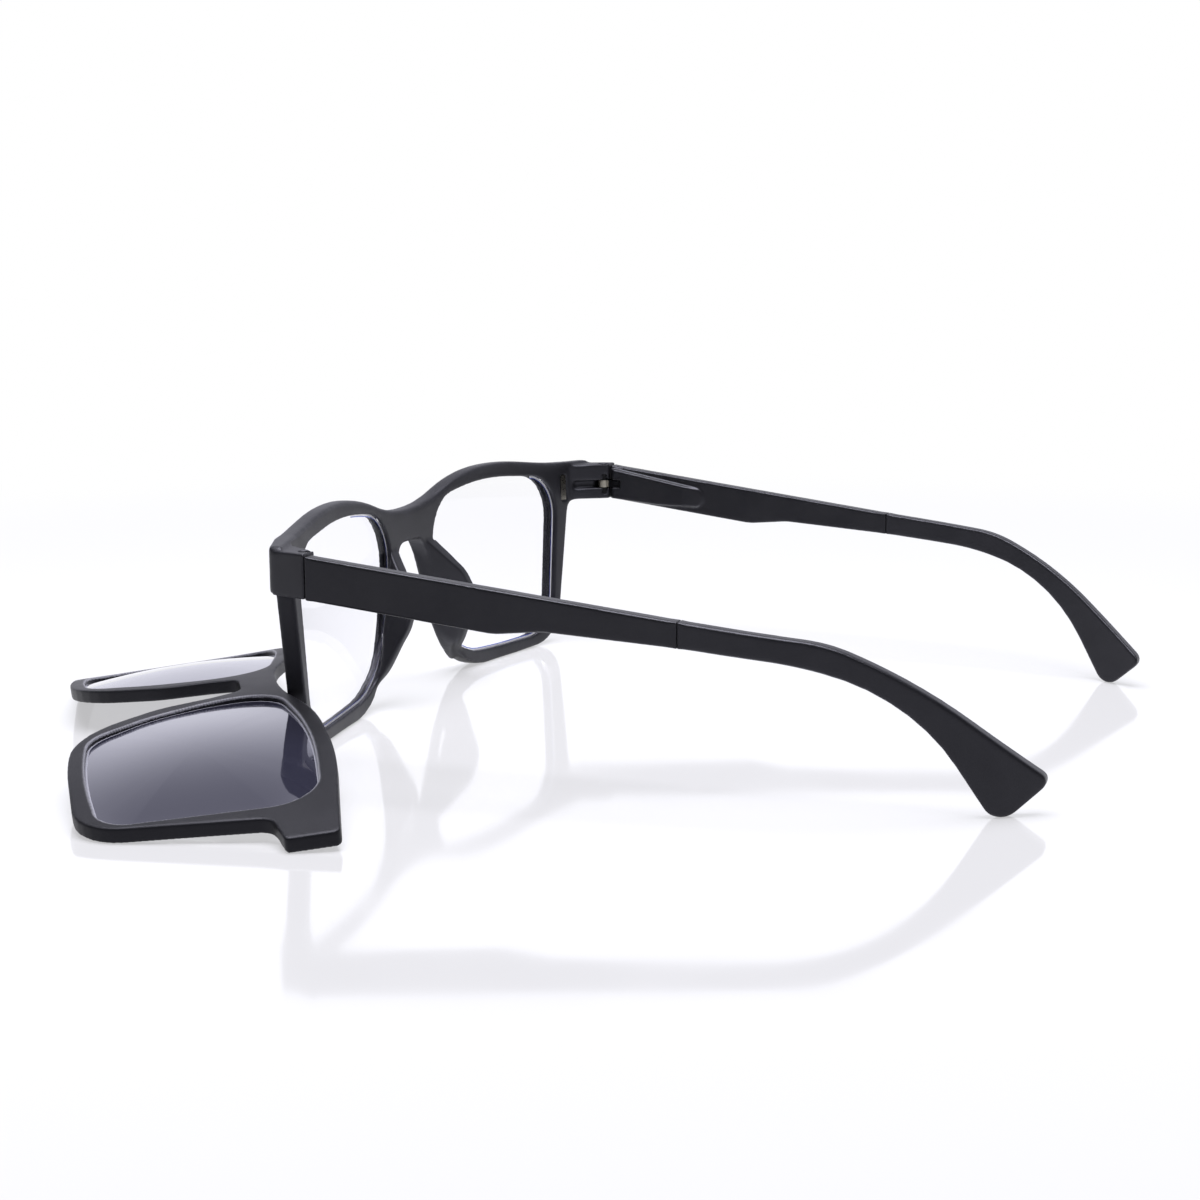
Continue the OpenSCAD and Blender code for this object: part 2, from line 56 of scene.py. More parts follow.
# %% Measures
MM = 0.001
SET_MIDDLE = Vector((22.2, 40.0, 0.0))
FRONT_LEAN = math.radians(1.8)
WRAP_R = 246.0
CLIP_R = 264.0
CLIP_FACE = 2.4
PIN = Vector((68.975, 16.670))
SPLAY = math.radians(3.3)
ARM_END = 65.65
ROD_START = (1.0, 4.2, 34.15)
ROD_DROP = 6.6
ROD_END = 15
LENS_CORNERS = [
    (8.6, 36.0, 10.0),
    (30.0, 39.4, 88.0),
    (59.0, 36.3, 9.0),
    (55.4, 2.3, 9.0),
    (36.0, 2.3, 200.0),
    (15.6, 3.6, 17.0),
    (9.6, 24.5, 20.0),
]
SUN_CORNERS = [
    (8.9, 35.4, 8.0),
    (34.0, 39.6, 110.0),
    (60.3, 37.6, 8.0),
    (57.0, 4.0, 6.0),
    (38.0, 1.95, 120.0),
    (20.4, 3.2, 9.0),
    (12.9, 14.2, 30.0),
    (9.2, 24.8, 20.0),
]
LENS_MIDDLE = np.array([34.0, 20.5])
LENS_HALF = np.array([28.5, 21.5])
SIDES = {"left": 1, "right": -1}

to_row = Matrix.Translation(-SET_MIDDLE)
worn = to_row @ Matrix.Rotation(FRONT_LEAN, 4, "X")
clip_lean = math.radians(6.4)
clip_z = 5.853
lying = (
    to_row
    @ Matrix.Translation((72.2, -29.1, clip_z))
    @ Matrix.Rotation(math.radians(34.0), 4, "Z")
    @ Matrix.Rotation(clip_lean - math.pi / 2, 4, "X")
)
temple_place = {
    side: Matrix.Translation(Vector((sign * PIN.x, PIN.y, 0)) - SET_MIDDLE)
    @ Matrix.Rotation(sign * SPLAY, 4, "Z")
    for side, sign in SIDES.items()
}
print("the middle of the clip's lower edge is", clip_z, "mm above the table")

# %% [markdown]
# ## Helpers for materials
# Colours are written as on a colour card and turned into the light values that the renderer
# works with. Every material is a small tree of nodes, so one function adds a node and wires it.


# %% Helpers for materials
def light(code):
    """A colour-card code such as "#808080" as linear red, green, blue and alpha."""
    parts = [int(code[i : i + 2], 16) / 255 for i in (1, 3, 5)]
    linear = [c / 12.92 if c <= 0.04045 else ((c + 0.055) / 1.055) ** 2.4 for c in parts]
    return (*linear, 1.0)


def add(tree, kind, settings=None, **values):
    """Adds a node. A value is a constant or another node's output; A_1 means the second input named A."""
    node = tree.nodes.new(kind)
    for name, value in (settings or {}).items():
        setattr(node, name, value)
    for name, value in values.items():
        parts = name.rsplit("_", 1)
        index = int(parts[1]) if len(parts) == 2 and parts[1].isdigit() else 0
        plain = (parts[0] if index or name.endswith("_0") else name).replace("_", " ").lower()
        socket = [s for s in node.inputs if s.enabled and s.name.lower() == plain][index]
        if isinstance(value, bpy.types.NodeSocket):
            tree.links.new(value, socket)
        else:
            socket.default_value = value
    return node


def material(name):
    """An empty material, with its node tree and its output node."""
    made = bpy.data.materials.new(name)
    made.use_nodes = True
    made.node_tree.nodes.clear()
    return made, made.node_tree, made.node_tree.nodes.new("ShaderNodeOutputMaterial")


def noise(tree, scale, detail=2.0, low=0.0, high=1.0):
    """Noise over the piece's own coordinates. Scale is in cells per metre."""
    where = add(tree, "ShaderNodeTexCoord").outputs["Object"]
    cells = add(tree, "ShaderNodeTexNoise", Vector=where, Scale=scale, Detail=detail)
    spread = add(
        tree,
        "ShaderNodeMapRange",
        Value=cells.outputs[0],
        From_Min=0.3,
        From_Max=0.7,
        To_Min=low,
        To_Max=high,
    )
    return spread.outputs[0]


# %% [markdown]
# ## Moulded plastic
# The front, the temples and the clip are injection-moulded and come out of a finely etched mould,
# so the black surface is matt with a grain of about a tenth of a millimetre. Handling polishes it
# a little unevenly. A photograph of plastic could be wrapped round the pieces, but it would stretch
# on the corners. Noise that lives in the solid's own coordinates has no seams, so that is used.


# %% Moulded plastic
def plastic(name, dark, pale, rough, sheen, grain):
    """A point attribute of the mesh marks a painted highlight: 1 where a fine cut edge is painted light grey
    as if it shone, and 0 or missing elsewhere.
    """
    made, tree, out = material(name)
    mottle = noise(tree, 160.0, 3.0)
    colour = add(
        tree,
        "ShaderNodeMix",
        {"data_type": "RGBA"},
        Factor=mottle,
        A=light(dark),
        B=light(pale),
    ).outputs[2]
    # Painted highlight: where the mesh's point attribute is 1, the colour turns light grey.
    painted_edge_highlight = add(tree, "ShaderNodeAttribute", {"attribute_name": "painted_edge_highlight"}).outputs["Fac"]
    colour = add(
        tree,
        "ShaderNodeMix",
        {"data_type": "RGBA"},
        Factor=painted_edge_highlight,
        A=colour,
        B=light("#8a8a92"),
    ).outputs[2]
    rub = noise(tree, 90.0, 4.0, rough - 0.03, rough + 0.05)
    etch = noise(tree, 9000.0, 1.0)
    bump = add(tree, "ShaderNodeBump", Strength=grain, Distance=0.00003, Height=etch).outputs[0]
    body = add(
        tree,
        "ShaderNodeBsdfPrincipled",
        Base_Color=colour,
        Roughness=rub,
        Specular_IOR_Level=sheen,
        Specular_Tint=light("#dedeec"),
        Normal=bump,
    )
    tree.links.new(body.outputs[0], out.inputs[0])
    return made


front_plastic = plastic("matt_black_nylon_front", "#111114", "#1a1a1e", 0.42, 0.5, 0.3)
temple_plastic = plastic("matt_black_nylon_temple", "#0e0e11", "#161618", 0.34, 0.48, 0.3)
tip_plastic = plastic("matt_black_nylon_tip", "#101013", "#18181b", 0.38, 0.5, 0.3)
clip_plastic = plastic("matt_black_nylon_clip", "#0f0f12", "#151518", 0.43, 0.28, 0.3)
print("plastics:", [m.name for m in (front_plastic, temple_plastic, tip_plastic, clip_plastic)])

# %% [markdown]
# ## Lens materials
# The reading lenses are clear plastic with a coating that reflects a little blue. The sun lenses
# are dyed grey all through and lightly mirrored, so at a low angle they show the white room. A thin
# frosted band where each reading lens meets its rim is painted white as a highlight, and a blue
# line beside it is a painted reflection of the coating. The sun lenses' edge band is a painted
# highlight in lighter grey.


# %% Lens materials
def lens_material(name, tint, reflection, clear, rough, ior, mirror=0.0):
    """Clear is the share of light let through. Shadows of a lens are tinted, not black."""
    made, tree, out = material(name)
    wipe = noise(tree, 55.0, 3.0, rough, rough + 0.02)
    body = add(
        tree,
        "ShaderNodeBsdfPrincipled",
        Base_Color=light(tint),
        Roughness=wipe,
        IOR=ior,
        Transmission_Weight=clear,
        Specular_Tint=light(reflection),
        Coat_Weight=mirror,
        Coat_IOR=2.3,
        Coat_Roughness=0.03,
    )
    through = add(tree, "ShaderNodeBsdfTransparent", Color=light(tint))
    mixed = add(
        tree,
        "ShaderNodeMixShader",
        Fac=add(tree, "ShaderNodeLightPath").outputs["Is Shadow Ray"],
        Shader_0=body.outputs[0],
        Shader_1=through.outputs[0],
    )
    tree.links.new(mixed.outputs[0], out.inputs[0])
    return made


clear_lens = lens_material("clear_lens_resin", "#fdfdff", "#dfe6ff", 1.0, 0.0, 1.12)
# The frosted band is the lens's ground edge, painted white as a highlight. The blue line is a painted
# reflection of the coating.
painted_edge_band = lens_material("frosted_lens_edge_painted_highlight", "#f6f6fb", "#ffffff", 0.3, 0.25, 1.5)
painted_coating_reflection = lens_material("painted_blue_coating_reflection", "#3348b8", "#8fa4ff", 0.5, 0.1, 1.5)
sun_lens = lens_material("grey_mirrored_polycarbonate", "#30303f", "#e6e6fa", 0.2, 0.03, 2.3, 1.0)
# A lighter grey band at the sun lens's edge: a painted highlight where the edge would catch the light.
painted_sun_edge = lens_material("sun_lens_edge_painted_highlight", "#8c8c96", "#ffffff", 0.1, 0.2, 1.5)
print("lenses:", ", ".join(m.name for m in (clear_lens, painted_edge_band, painted_coating_reflection, sun_lens, painted_sun_edge)))

# %% [markdown]
# ## Metals
# Magnets are nickel-plated and a little stained. The leaf in the front is blackened. The temple's
# nickel silver leaf is painted dark away from the hinge screw, where it lies in the temple's slot.
# Screws and springs are steel, the small stop is turned brass and the core is drawn wire.


# %% Metals
BRIGHT_RADIUS = 0.0013


def metal(name, one, two, rough, scratch, bright_at=None):
    """Bright_at is a point on an upright axis: the metal is painted dark where it is further away."""
    made, tree, out = material(name)
    stain = noise(tree, 1400.0, 3.0)
    colour = add(
        tree,
        "ShaderNodeMix",
        {"data_type": "RGBA"},
        Factor=stain,
        A=light(one),
        B=light(two),
    ).outputs[2]
    where = add(tree, "ShaderNodeTexCoord").outputs["Object"]
    if bright_at:
        level = add(
            tree,
            "ShaderNodeVectorMath",
            {"operation": "MULTIPLY"},
            Vector_0=where,
            Vector_1=(1, 1, 0),
        ).outputs[0]
        gap = add(
            tree,
            "ShaderNodeVectorMath",
            {"operation": "DISTANCE"},
            Vector_0=level,
            Vector_1=bright_at,
        ).outputs["Value"]
        # Painted dark beyond BRIGHT_RADIUS from the axis, where the leaf lies in the temple's slot.
        black = add(
            tree,
            "ShaderNodeMapRange",
            Value=gap,
            From_Min=BRIGHT_RADIUS,
            From_Max=BRIGHT_RADIUS + 0.0002,
        ).outputs[0]
        colour = add(
            tree,
            "ShaderNodeMix",
            {"data_type": "RGBA"},
            Factor=black,
            A=colour,
            B=light("#1c1c1e"),
        ).outputs[2]
    long = add(tree, "ShaderNodeMapping", Vector=where, Scale=(12000.0, 900.0, 12000.0)).outputs[0]
    lines = add(tree, "ShaderNodeTexNoise", Vector=long, Scale=1.0, Detail=2.0).outputs[0]
    bump = add(tree, "ShaderNodeBump", Strength=scratch, Distance=0.00001, Height=lines).outputs[0]
    body = add(
        tree,
        "ShaderNodeBsdfPrincipled",
        Base_Color=colour,
        Metallic=1.0,
        Roughness=noise(tree, 1100.0, 3.0, rough, rough + 0.12),
        Normal=bump,
    )
    tree.links.new(body.outputs[0], out.inputs[0])
    return made


magnet_nickel = metal("nickel_plated_magnet", "#8f8c85", "#77746d", 0.24, 0.2)
hinge_silver = {
    side: metal(
        f"nickel_silver_hinge_{side}",
        "#b6b1a6",
        "#9c978c",
        0.3,
        0.35,
        ((sign * PIN.x - SET_MIDDLE.x) * MM, (PIN.y - SET_MIDDLE.y) * MM, 0.0),
    )
    for side, sign in SIDES.items()
}
screw_steel = metal("steel_screw", "#c4c3bf", "#aaa9a5", 0.22, 0.3)
spring_steel = metal("spring_steel", "#b5b5b4", "#989897", 0.25, 0.3)
leaf_black = metal("blackened_steel_leaf", "#2a2a2c", "#1c1c1e", 0.35, 0.3)
stop_brass = metal("turned_brass", "#c9a85a", "#b39248", 0.25, 0.3)
core_wire = metal("drawn_wire", "#a4a4a6", "#8b8b8d", 0.35, 0.4)
metals = (magnet_nickel, *hinge_silver.values(), screw_steel, spring_steel, leaf_black, stop_brass, core_wire)
print("metals:", [m.name for m in metals])


# %% [markdown]
# ## Helpers for meshes
# Finished pieces are plain closed meshes at the origin, in the row's frame. A moulded piece starts
# as a copy of its construction mesh.


# %% Helpers for meshes
def finish_piece(mesh, name, body, slot, *nodes):
    """Puts a mesh in the scene as one piece that rides on a body and stands for CAD nodes."""
    mesh.name = name
    piece = bpy.data.objects.new(name, mesh)
    bpy.context.scene.collection.objects.link(piece)
    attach(piece, body)
    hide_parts(*nodes)


def merged_copy(node):
    """A copy of a construction mesh, with its loose triangles joined and its plain paint removed."""
    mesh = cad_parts[node].data.copy()
    mesh.materials.clear()
    work = bmesh.new()
    work.from_mesh(mesh)
    bmesh.ops.remove_doubles(work, verts=work.verts, dist=0.000002)
    work.to_mesh(mesh)
    work.free()
    return mesh


ASKEW = Euler((0.6, 0.5, 0.7)).to_matrix().to_4x4()
FRONT_TRIANGLES = 180000
TEMPLE_TRIANGLES = 150000


def changed(mesh, kind, **settings):
    """The mesh as a modifier of that kind leaves it. The given mesh goes."""
    holder = bpy.data.objects.new("holder", mesh)
    bpy.context.scene.collection.objects.link(holder)
    change = holder.modifiers.new("change", kind)
    for name, value in settings.items():
        setattr(change, name, value)
    bpy.context.view_layer.update()
    ready = holder.evaluated_get(bpy.context.evaluated_depsgraph_get())
    made = bpy.data.meshes.new_from_object(ready)
    bpy.data.objects.remove(holder)
    bpy.data.meshes.remove(mesh)
    return made


def remeshed(mesh, voxel):
    """The mesh with an even net of small faces, so that its edges can be rounded.

    The net is laid askew, because one that lies nearly in line with a long edge gives it slow steps.
    """
    mesh.transform(ASKEW)
    made = changed(mesh, "REMESH", mode="VOXEL", voxel_size=voxel, use_smooth_shade=True)
    made.transform(ASKEW.inverted())
    return made


def thinned(mesh, most):
    """The mesh with fewer faces where it is flat, and at most so many triangles."""
    made = changed(mesh, "DECIMATE", ratio=min(1.0, most / (2 * len(mesh.polygons))))
    made.shade_smooth()
    return made


def put(mesh, place):
    """Moves a mesh in metres by a matrix in millimetres."""
    mesh.transform(Matrix.Scale(1 / MM, 4))
    mesh.transform(place)
    mesh.transform(Matrix.Scale(MM, 4))


def points_of(mesh):
    flat = np.empty(3 * len(mesh.vertices), np.float32)
    mesh.vertices.foreach_get("co", flat)
    return flat.reshape(-1, 3).astype(float)


def soften(mesh, rounds, share=None):
    """Rounds edges: each point moves towards its neighbours' mean, fully where share is 1, not at 0."""
    points = points_of(mesh)
    pairs = np.empty(2 * len(mesh.edges), np.int32)
    mesh.edges.foreach_get("vertices", pairs)
    a, b = pairs.reshape(-1, 2).T
    count = len(points)
    degree = np.bincount(a, minlength=count) + np.bincount(b, minlength=count)
    step = 0.5 * (np.ones(count) if share is None else share)
    for _ in range(rounds):
        for axis in range(3):
            total = np.bincount(a, points[b, axis], count) + np.bincount(b, points[a, axis], count)
            points[:, axis] += step * (total / degree - points[:, axis])
    mesh.vertices.foreach_set("co", points.astype(np.float32).ravel())
    mesh.update()


def in_frame(mesh, matrix):
    """The mesh's points in millimetres, in the frame that the matrix puts into the row's frame."""
    back = np.array(matrix.inverted())
    return points_of(mesh) / MM @ back[:3, :3].T + back[:3, 3]


# %% [markdown]
# ## Lens outline
# Each lens shape comes from a list of corners with radii, as a frame maker draws it. The rim
# follows the same outline, so the distance to it tells how near a point of the rim is to the lens.


# %% Lens outline
def outline(grow, steps=9, shape=LENS_CORNERS):
    """A lens outline, moved outwards by grow, as points in X and Z."""
    corners = [np.array(c) for c in shape]
    count = len(corners)
    normals = []
    for i in range(count):
        run = corners[(i + 1) % count][:2] - corners[i][:2]
        run /= np.linalg.norm(run)
        normals.append(np.array([-run[1], run[0]]))
    moved = []
    for i, c in enumerate(corners):
        m, n = normals[i - 1], normals[i]
        moved.append((c[:2] + grow * (m + n) / (1 + m @ n), c[2] + grow))
    points = []
    for i in range(count):
        p, r = moved[i]
        u = moved[i - 1][0] - p
        v = moved[(i + 1) % count][0] - p
        u, v = u / np.linalg.norm(u), v / np.linalg.norm(v)
        half = math.acos(u @ v) / 2
        centre = p + (u + v) / np.linalg.norm(u + v) * r / math.sin(half)
        start, end = p + u * r / math.tan(half) - centre, p + v * r / math.tan(half) - centre
        a = math.atan2(start[1], start[0])
        turn = (math.atan2(end[1], end[0]) - a + math.pi) % (2 * math.pi) - math.pi
        for k in range(steps + 1):
            t = a + turn * k / steps
            points.append(centre + r * np.array([math.cos(t), math.sin(t)]))
    return np.array(points)


def stretch(line, gap=0.6):
    """The closed line with points no further apart than gap."""
    ahead = np.roll(line, -1, 0)
    counts = np.maximum(1, np.ceil(np.linalg.norm(ahead - line, axis=1) / gap)).astype(int)
    return np.concatenate([a + (b - a) * np.arange(n)[:, None] / n for a, b, n in zip(line, ahead, counts)])


def near_opening(points, reach, shape=LENS_CORNERS):
    """1 at the lens openings' outline, falling to 0 at reach millimetres away."""
    line = stretch(outline(0.0, 12, shape))
    flat = np.stack([np.abs(points[:, 0]), points[:, 2]], 1)
    batch = 20000
    near = np.zeros(len(points))
    for start in range(0, len(points), batch):
        part = flat[start : start + batch]
        gap = np.sqrt(((part[:, None, :] - line[None]) ** 2).sum(2)).min(1)
        near[start : start + batch] = np.clip(1 - gap / reach, 0, 1)
    return near


print("points on the lens outline:", len(outline(0.0)))

# %% [markdown]
# ## Front frame
# On the real glasses the front is one moulding: rims, bridge, nose pads and end pieces. Its edges
# are rounded by about a millimetre outside and less round the lens. The edges of the construction
# model are sharp. A bevel would need clean edges everywhere; an even net of small faces, softened
# more outside and less near the lens grooves, rounds them all and keeps the slots. The brow and the
# lower ends of the pads are rounder still, so they get more rounds of their own.

# %% Front frame
front_net = 0.0002
groove_reach, groove_hold = 2.2, 0.8
hinge_y, hinge_fade, hinge_hold = 14.0, 3.0, 0.85
pad_end = (14.5, 6.5, 6.5)
pad_reach, pad_fade = 8.0, 2.5
brow_depth, brow_end, brow_fade = 2.6, 62.0, 4.0

mesh = remeshed(merged_copy("front_frame"), front_net)
soften(mesh, 5)

spots = in_frame(mesh, worn)
share = 1 - groove_hold * near_opening(spots, groove_reach)
share *= 1 - hinge_hold * np.clip((spots[:, 1] - hinge_y) / hinge_fade, 0, 1)
soften(mesh, 18, share)

spots = in_frame(mesh, worn)
mirrored = np.stack([np.abs(spots[:, 0]), spots[:, 1], spots[:, 2]], 1)
gap = np.linalg.norm(mirrored - pad_end, axis=1)
soften(mesh, 80, np.clip((pad_reach - gap) / pad_fade, 0, 1))

spots = in_frame(mesh, worn)
column = np.abs(spots[:, 0]).astype(int)
top = np.zeros(column.max() + 1)
np.maximum.at(top, column, spots[:, 2])
crown = np.clip(1 - (top[column] - spots[:, 2]) / brow_depth, 0, 1)
crown *= np.clip((brow_end - column) / brow_fade, 0, 1)
soften(mesh, 45, crown)

mesh = thinned(mesh, FRONT_TRIANGLES)
mesh.materials.append(front_plastic)
finish_piece(mesh, "front_moulding", "front", "front_plastic", "front_frame")
print("front moulding:", len(mesh.polygons), "faces")

# %% [markdown]
# ## Temples and tips
# Each temple has a front part with a raised hinge housing inside and a flatter tip that curves
# down and inwards behind the ear. The two meet at a fine seam. Both are rounded in the same way,
# but less at the seam and at the hinge, where real pieces meet edge to edge, and less round the
# bore of the pull rod, where the wall is thin.


# %% Temples and tips
def near_rod(points, sign, reach):
    """1 round the pull rod's bore in the hinge housing, falling to 0 at reach from its axis."""
    start = np.array([sign, 1, 1]) * ROD_START
    drop = math.radians(ROD_DROP)
    way = np.array([0.0, math.cos(drop), -math.sin(drop)])
    run = (points - start) @ way
    gap = np.linalg.norm(points - start - run[:, None] * way, axis=1)
    return np.clip(reach - gap, 0, 1) * (run < ROD_END)


temple_net = 0.00015
rod_reach, rod_hold = 2.4, 0.85
seam_fade, seam_least = 1.6, 0.1
hinge_y, hinge_fade, hinge_least = 1.6, 1.5, 0.15
for side, sign in SIDES.items():
    for kind, paint, slot, rounds in (
        ("arm", temple_plastic, "temple_plastic", 28),
        ("tip", tip_plastic, "tip_plastic", 40),
    ):
        mesh = remeshed(merged_copy(f"temple_{kind}_{side}"), temple_net)
        spots = in_frame(mesh, temple_place[side])
        along = spots[:, 1]
        share = np.clip(np.abs(along - ARM_END) / seam_fade, seam_least, 1)
        share *= np.clip((along - hinge_y) / hinge_fade, hinge_least, 1)
        if kind == "arm":
            share *= 1 - rod_hold * near_rod(spots, sign, rod_reach)
        soften(mesh, rounds, share)
        mesh = thinned(mesh, TEMPLE_TRIANGLES)
        mesh.materials.append(paint)
        finish_piece(mesh, f"temple_{kind}_moulding_{side}", f"temple_{side}", slot, f"temple_{kind}_{side}")
        print(side, kind, len(mesh.polygons), "faces")

# %% [markdown]
# ## Clip frame
# The clip is a second, thinner front. The edge of its lens openings is painted light grey as a fine
# line, a painted highlight where it would catch the light. A ring of its own would show a seam, so
# each point of the mesh carries a number that says how strongly the highlight is painted there,
# and the plastic reads that.

# %% Clip frame
clip_net = 0.00017
opening_reach, opening_hold = 2.0, 0.75
edge_width = 0.45

mesh = remeshed(merged_copy("clip_frame"), clip_net)
soften(mesh, 4)
share = 1 - opening_hold * near_opening(in_frame(mesh, lying), opening_reach, SUN_CORNERS)
soften(mesh, 13, share)
mesh = thinned(mesh, FRONT_TRIANGLES)

spots = in_frame(mesh, lying)
behind_face = CLIP_R - np.hypot(spots[:, 0], CLIP_R - spots[:, 1]) + CLIP_FACE
# Where the painted highlight goes: near the openings' outline, at the clip's front face.
polished = near_opening(spots, edge_width, SUN_CORNERS) * (np.abs(behind_face) < edge_width)
mesh.attributes.new("painted_edge_highlight", "FLOAT", "POINT").data.foreach_set("value", polished)
mesh.materials.append(clip_plastic)
finish_piece(mesh, "clip_moulding", "sun_clip", "clip_plastic", "clip_frame")
print("clip moulding:", len(mesh.polygons), "faces")

# %% [markdown]
# ## Lenses
# A lens is cut to the rim's outline and curves with it. A fine fan of rings makes its faces smooth
# enough to mirror the room without facets. The outermost ring has a small bevel, the next ring lies
# in the groove, and the two after that are a band beside the rim and its blue line. On a reading
# lens the band is a frosted edge painted white as a highlight and the line is a painted reflection
# of the coating. Both are painted only at the lower edge and on the side away from the camera,
# where the edge looks lit. On a sun lens the band is a lighter grey painted highlight all round the front.

# %% Lenses
BEVEL = 0.14
EDGE = 0.8
RINGS = (0.68, 0.1, -0.32, -0.5)
RING_PAINTS = {2: 1, 3: 2}
FAN_EDGE = -1.4
FAN_RINGS = 20
BAND_TOP = 9
NEAR_BAND_END = 24
FAR_BAND_START = 48


def wrapped(flat, depth, radius, bulge):
    """Points in X and Z put on the wrapped wall, depth behind its face, domed forwards by bulge."""
    x, z = flat[:, 0], flat[:, 1]
    share = ((flat - LENS_MIDDLE) ** 2 / LENS_HALF**2).sum(1)
    y = radius - np.sqrt((radius - depth) ** 2 - x**2) - bulge * np.clip(1 - share, 0, 1) ** 1.5
    return np.stack([x, y, z], 1)


def make_lens(name, side, place, shape, radius, paints_of, shown, *where, depth, thick, bulge):
    """One lens, from the edge to the middle in front and back out behind, ring by ring.

    Shown is the face on which the rings beside the rim have paints of their own.
    """
    edge = outline(EDGE, shape=shape)
    rings = [edge] + [outline(grow, shape=shape) for grow in RINGS]
    inner = outline(FAN_EDGE, shape=shape)
    rings += [LENS_MIDDLE + (inner - LENS_MIDDLE) * s for s in np.linspace(1.0, 0.05, FAN_RINGS)]
    sheets = [
        (rings[0], depth + BEVEL),
        *[(r, depth) for r in rings[1:]],
        *[(r, depth + thick) for r in reversed(rings[1:])],
        (rings[0], depth + thick - BEVEL),
    ]
    count, rows = len(edge), len(sheets)
    points = np.concatenate([wrapped(r, d, radius, bulge) for r, d in sheets])
    points[:, 0] *= side
    half = rows // 2
    faces, paints = [], []
    for i in range(rows):
        if i == half - 1:
            continue
        here, beside = i * count, (i + 1) % rows * count
        for k in range(count):
            after = (k + 1) % count
            face = (here + k, here + after, beside + after, beside + k)
            faces.append(face if side < 0 else face[::-1])
            x, z = rings[2][k]
            ring = min(i, rows - 2 - i)
            # The band and its blue line are a painted highlight and a painted reflection. On a reading lens
            # they are painted only at the lower edge and on the side away from the camera, where the edge
            # looks lit.
            lit = (i > half) == (shown == "back")
            if shown == "back":
                lit = lit and (z < BAND_TOP or (x < NEAR_BAND_END if side > 0 else x > FAR_BAND_START))
            paints.append(RING_PAINTS.get(ring, 0) if lit else 0)
    caps = [list(range((half - 1) * count, half * count)), list(range(half * count, (half + 1) * count))]
    for flip, cap in zip((False, True), caps):
        faces.append(cap[::-1] if flip == (side < 0) else cap)
        paints.append(0)
    mesh = bpy.data.meshes.new(name)
    mesh.from_pydata((points * MM).tolist(), [], faces)
    put(mesh, place)
    for paint in paints_of:
        mesh.materials.append(paint)
    mesh.polygons.foreach_set("material_index", paints)
    mesh.shade_smooth()
    mesh.set_sharp_from_angle(angle=math.radians(30))
    mesh.validate()
    work = bmesh.new()
    work.from_mesh(mesh)
    bmesh.ops.recalc_face_normals(work, faces=work.faces)
    volume = work.calc_volume(signed=True)
    work.to_mesh(mesh)
    work.free()
    print(name, "volume", round(volume * 1e9), "mm3")
    finish_piece(mesh, name, *where)


for side, sign in SIDES.items():
    make_lens(
        f"reading_lens_{side}_polished",
        sign,
        worn,
        LENS_CORNERS,
        WRAP_R,
        (clear_lens, painted_edge_band, painted_coating_reflection),
        "back",
        "front",
        "clear_lens",
        f"reading_lens_{side}",
        depth=0.9,
        thick=1.8,
        bulge=0.35,
    )
    make_lens(
        f"sun_lens_{side}_polished",
        sign,
        lying,
        SUN_CORNERS,
        CLIP_R,
        (sun_lens, painted_sun_edge, sun_lens),
        "front",
        "sun_clip",
        "sun_lens",
        f"sun_lens_{side}",
        depth=-1.3,
        thick=0.8,
        bulge=1.4,
    )

# %% [markdown]
# ## Hinge springs
# A spring hinge has a coil on a pull rod inside the temple. It repeats one turn along a line, so it
# is made with Geometry Nodes: a spiral swept by a small circle. Length, turns and wire are inputs
# by name, so another spring only needs other numbers.


# %% Hinge springs
def spring_nodes():
    group = bpy.data.node_groups.new("coil_spring", "GeometryNodeTree")
    group.interface.new_socket("Geometry", in_out="OUTPUT", socket_type="NodeSocketGeometry")
    for name, kind in (
        ("Turns", "NodeSocketFloat"),
        ("Coil Radius", "NodeSocketFloat"),
        ("Length", "NodeSocketFloat"),
        ("Wire Radius", "NodeSocketFloat"),
        ("Material", "NodeSocketMaterial"),
    ):
        group.interface.new_socket(name, in_out="INPUT", socket_type=kind)
    given = group.nodes.new("NodeGroupInput").outputs
    result = group.nodes.new("NodeGroupOutput")
    path = add(
        group,
        "GeometryNodeCurveSpiral",
        Resolution=32,
        Rotations=given["Turns"],
        Start_Radius=given["Coil Radius"],
        End_Radius=given["Coil Radius"],
        Height=given["Length"],
    ).outputs[0]
    wire = add(
        group,
        "GeometryNodeCurvePrimitiveCircle",
        Resolution=10,
        Radius=given["Wire Radius"],
    ).outputs[0]
    swept = add(group, "GeometryNodeCurveToMesh", Curve=path, Profile_Curve=wire, Fill_Caps=True).outputs[0]
    real = add(group, "GeometryNodeRealizeInstances", Geometry=swept).outputs[0]
    painted = add(group, "GeometryNodeSetMaterial", Geometry=real, Material=given["Material"]).outputs[0]
    group.links.new(painted, result.inputs[0])
    return group


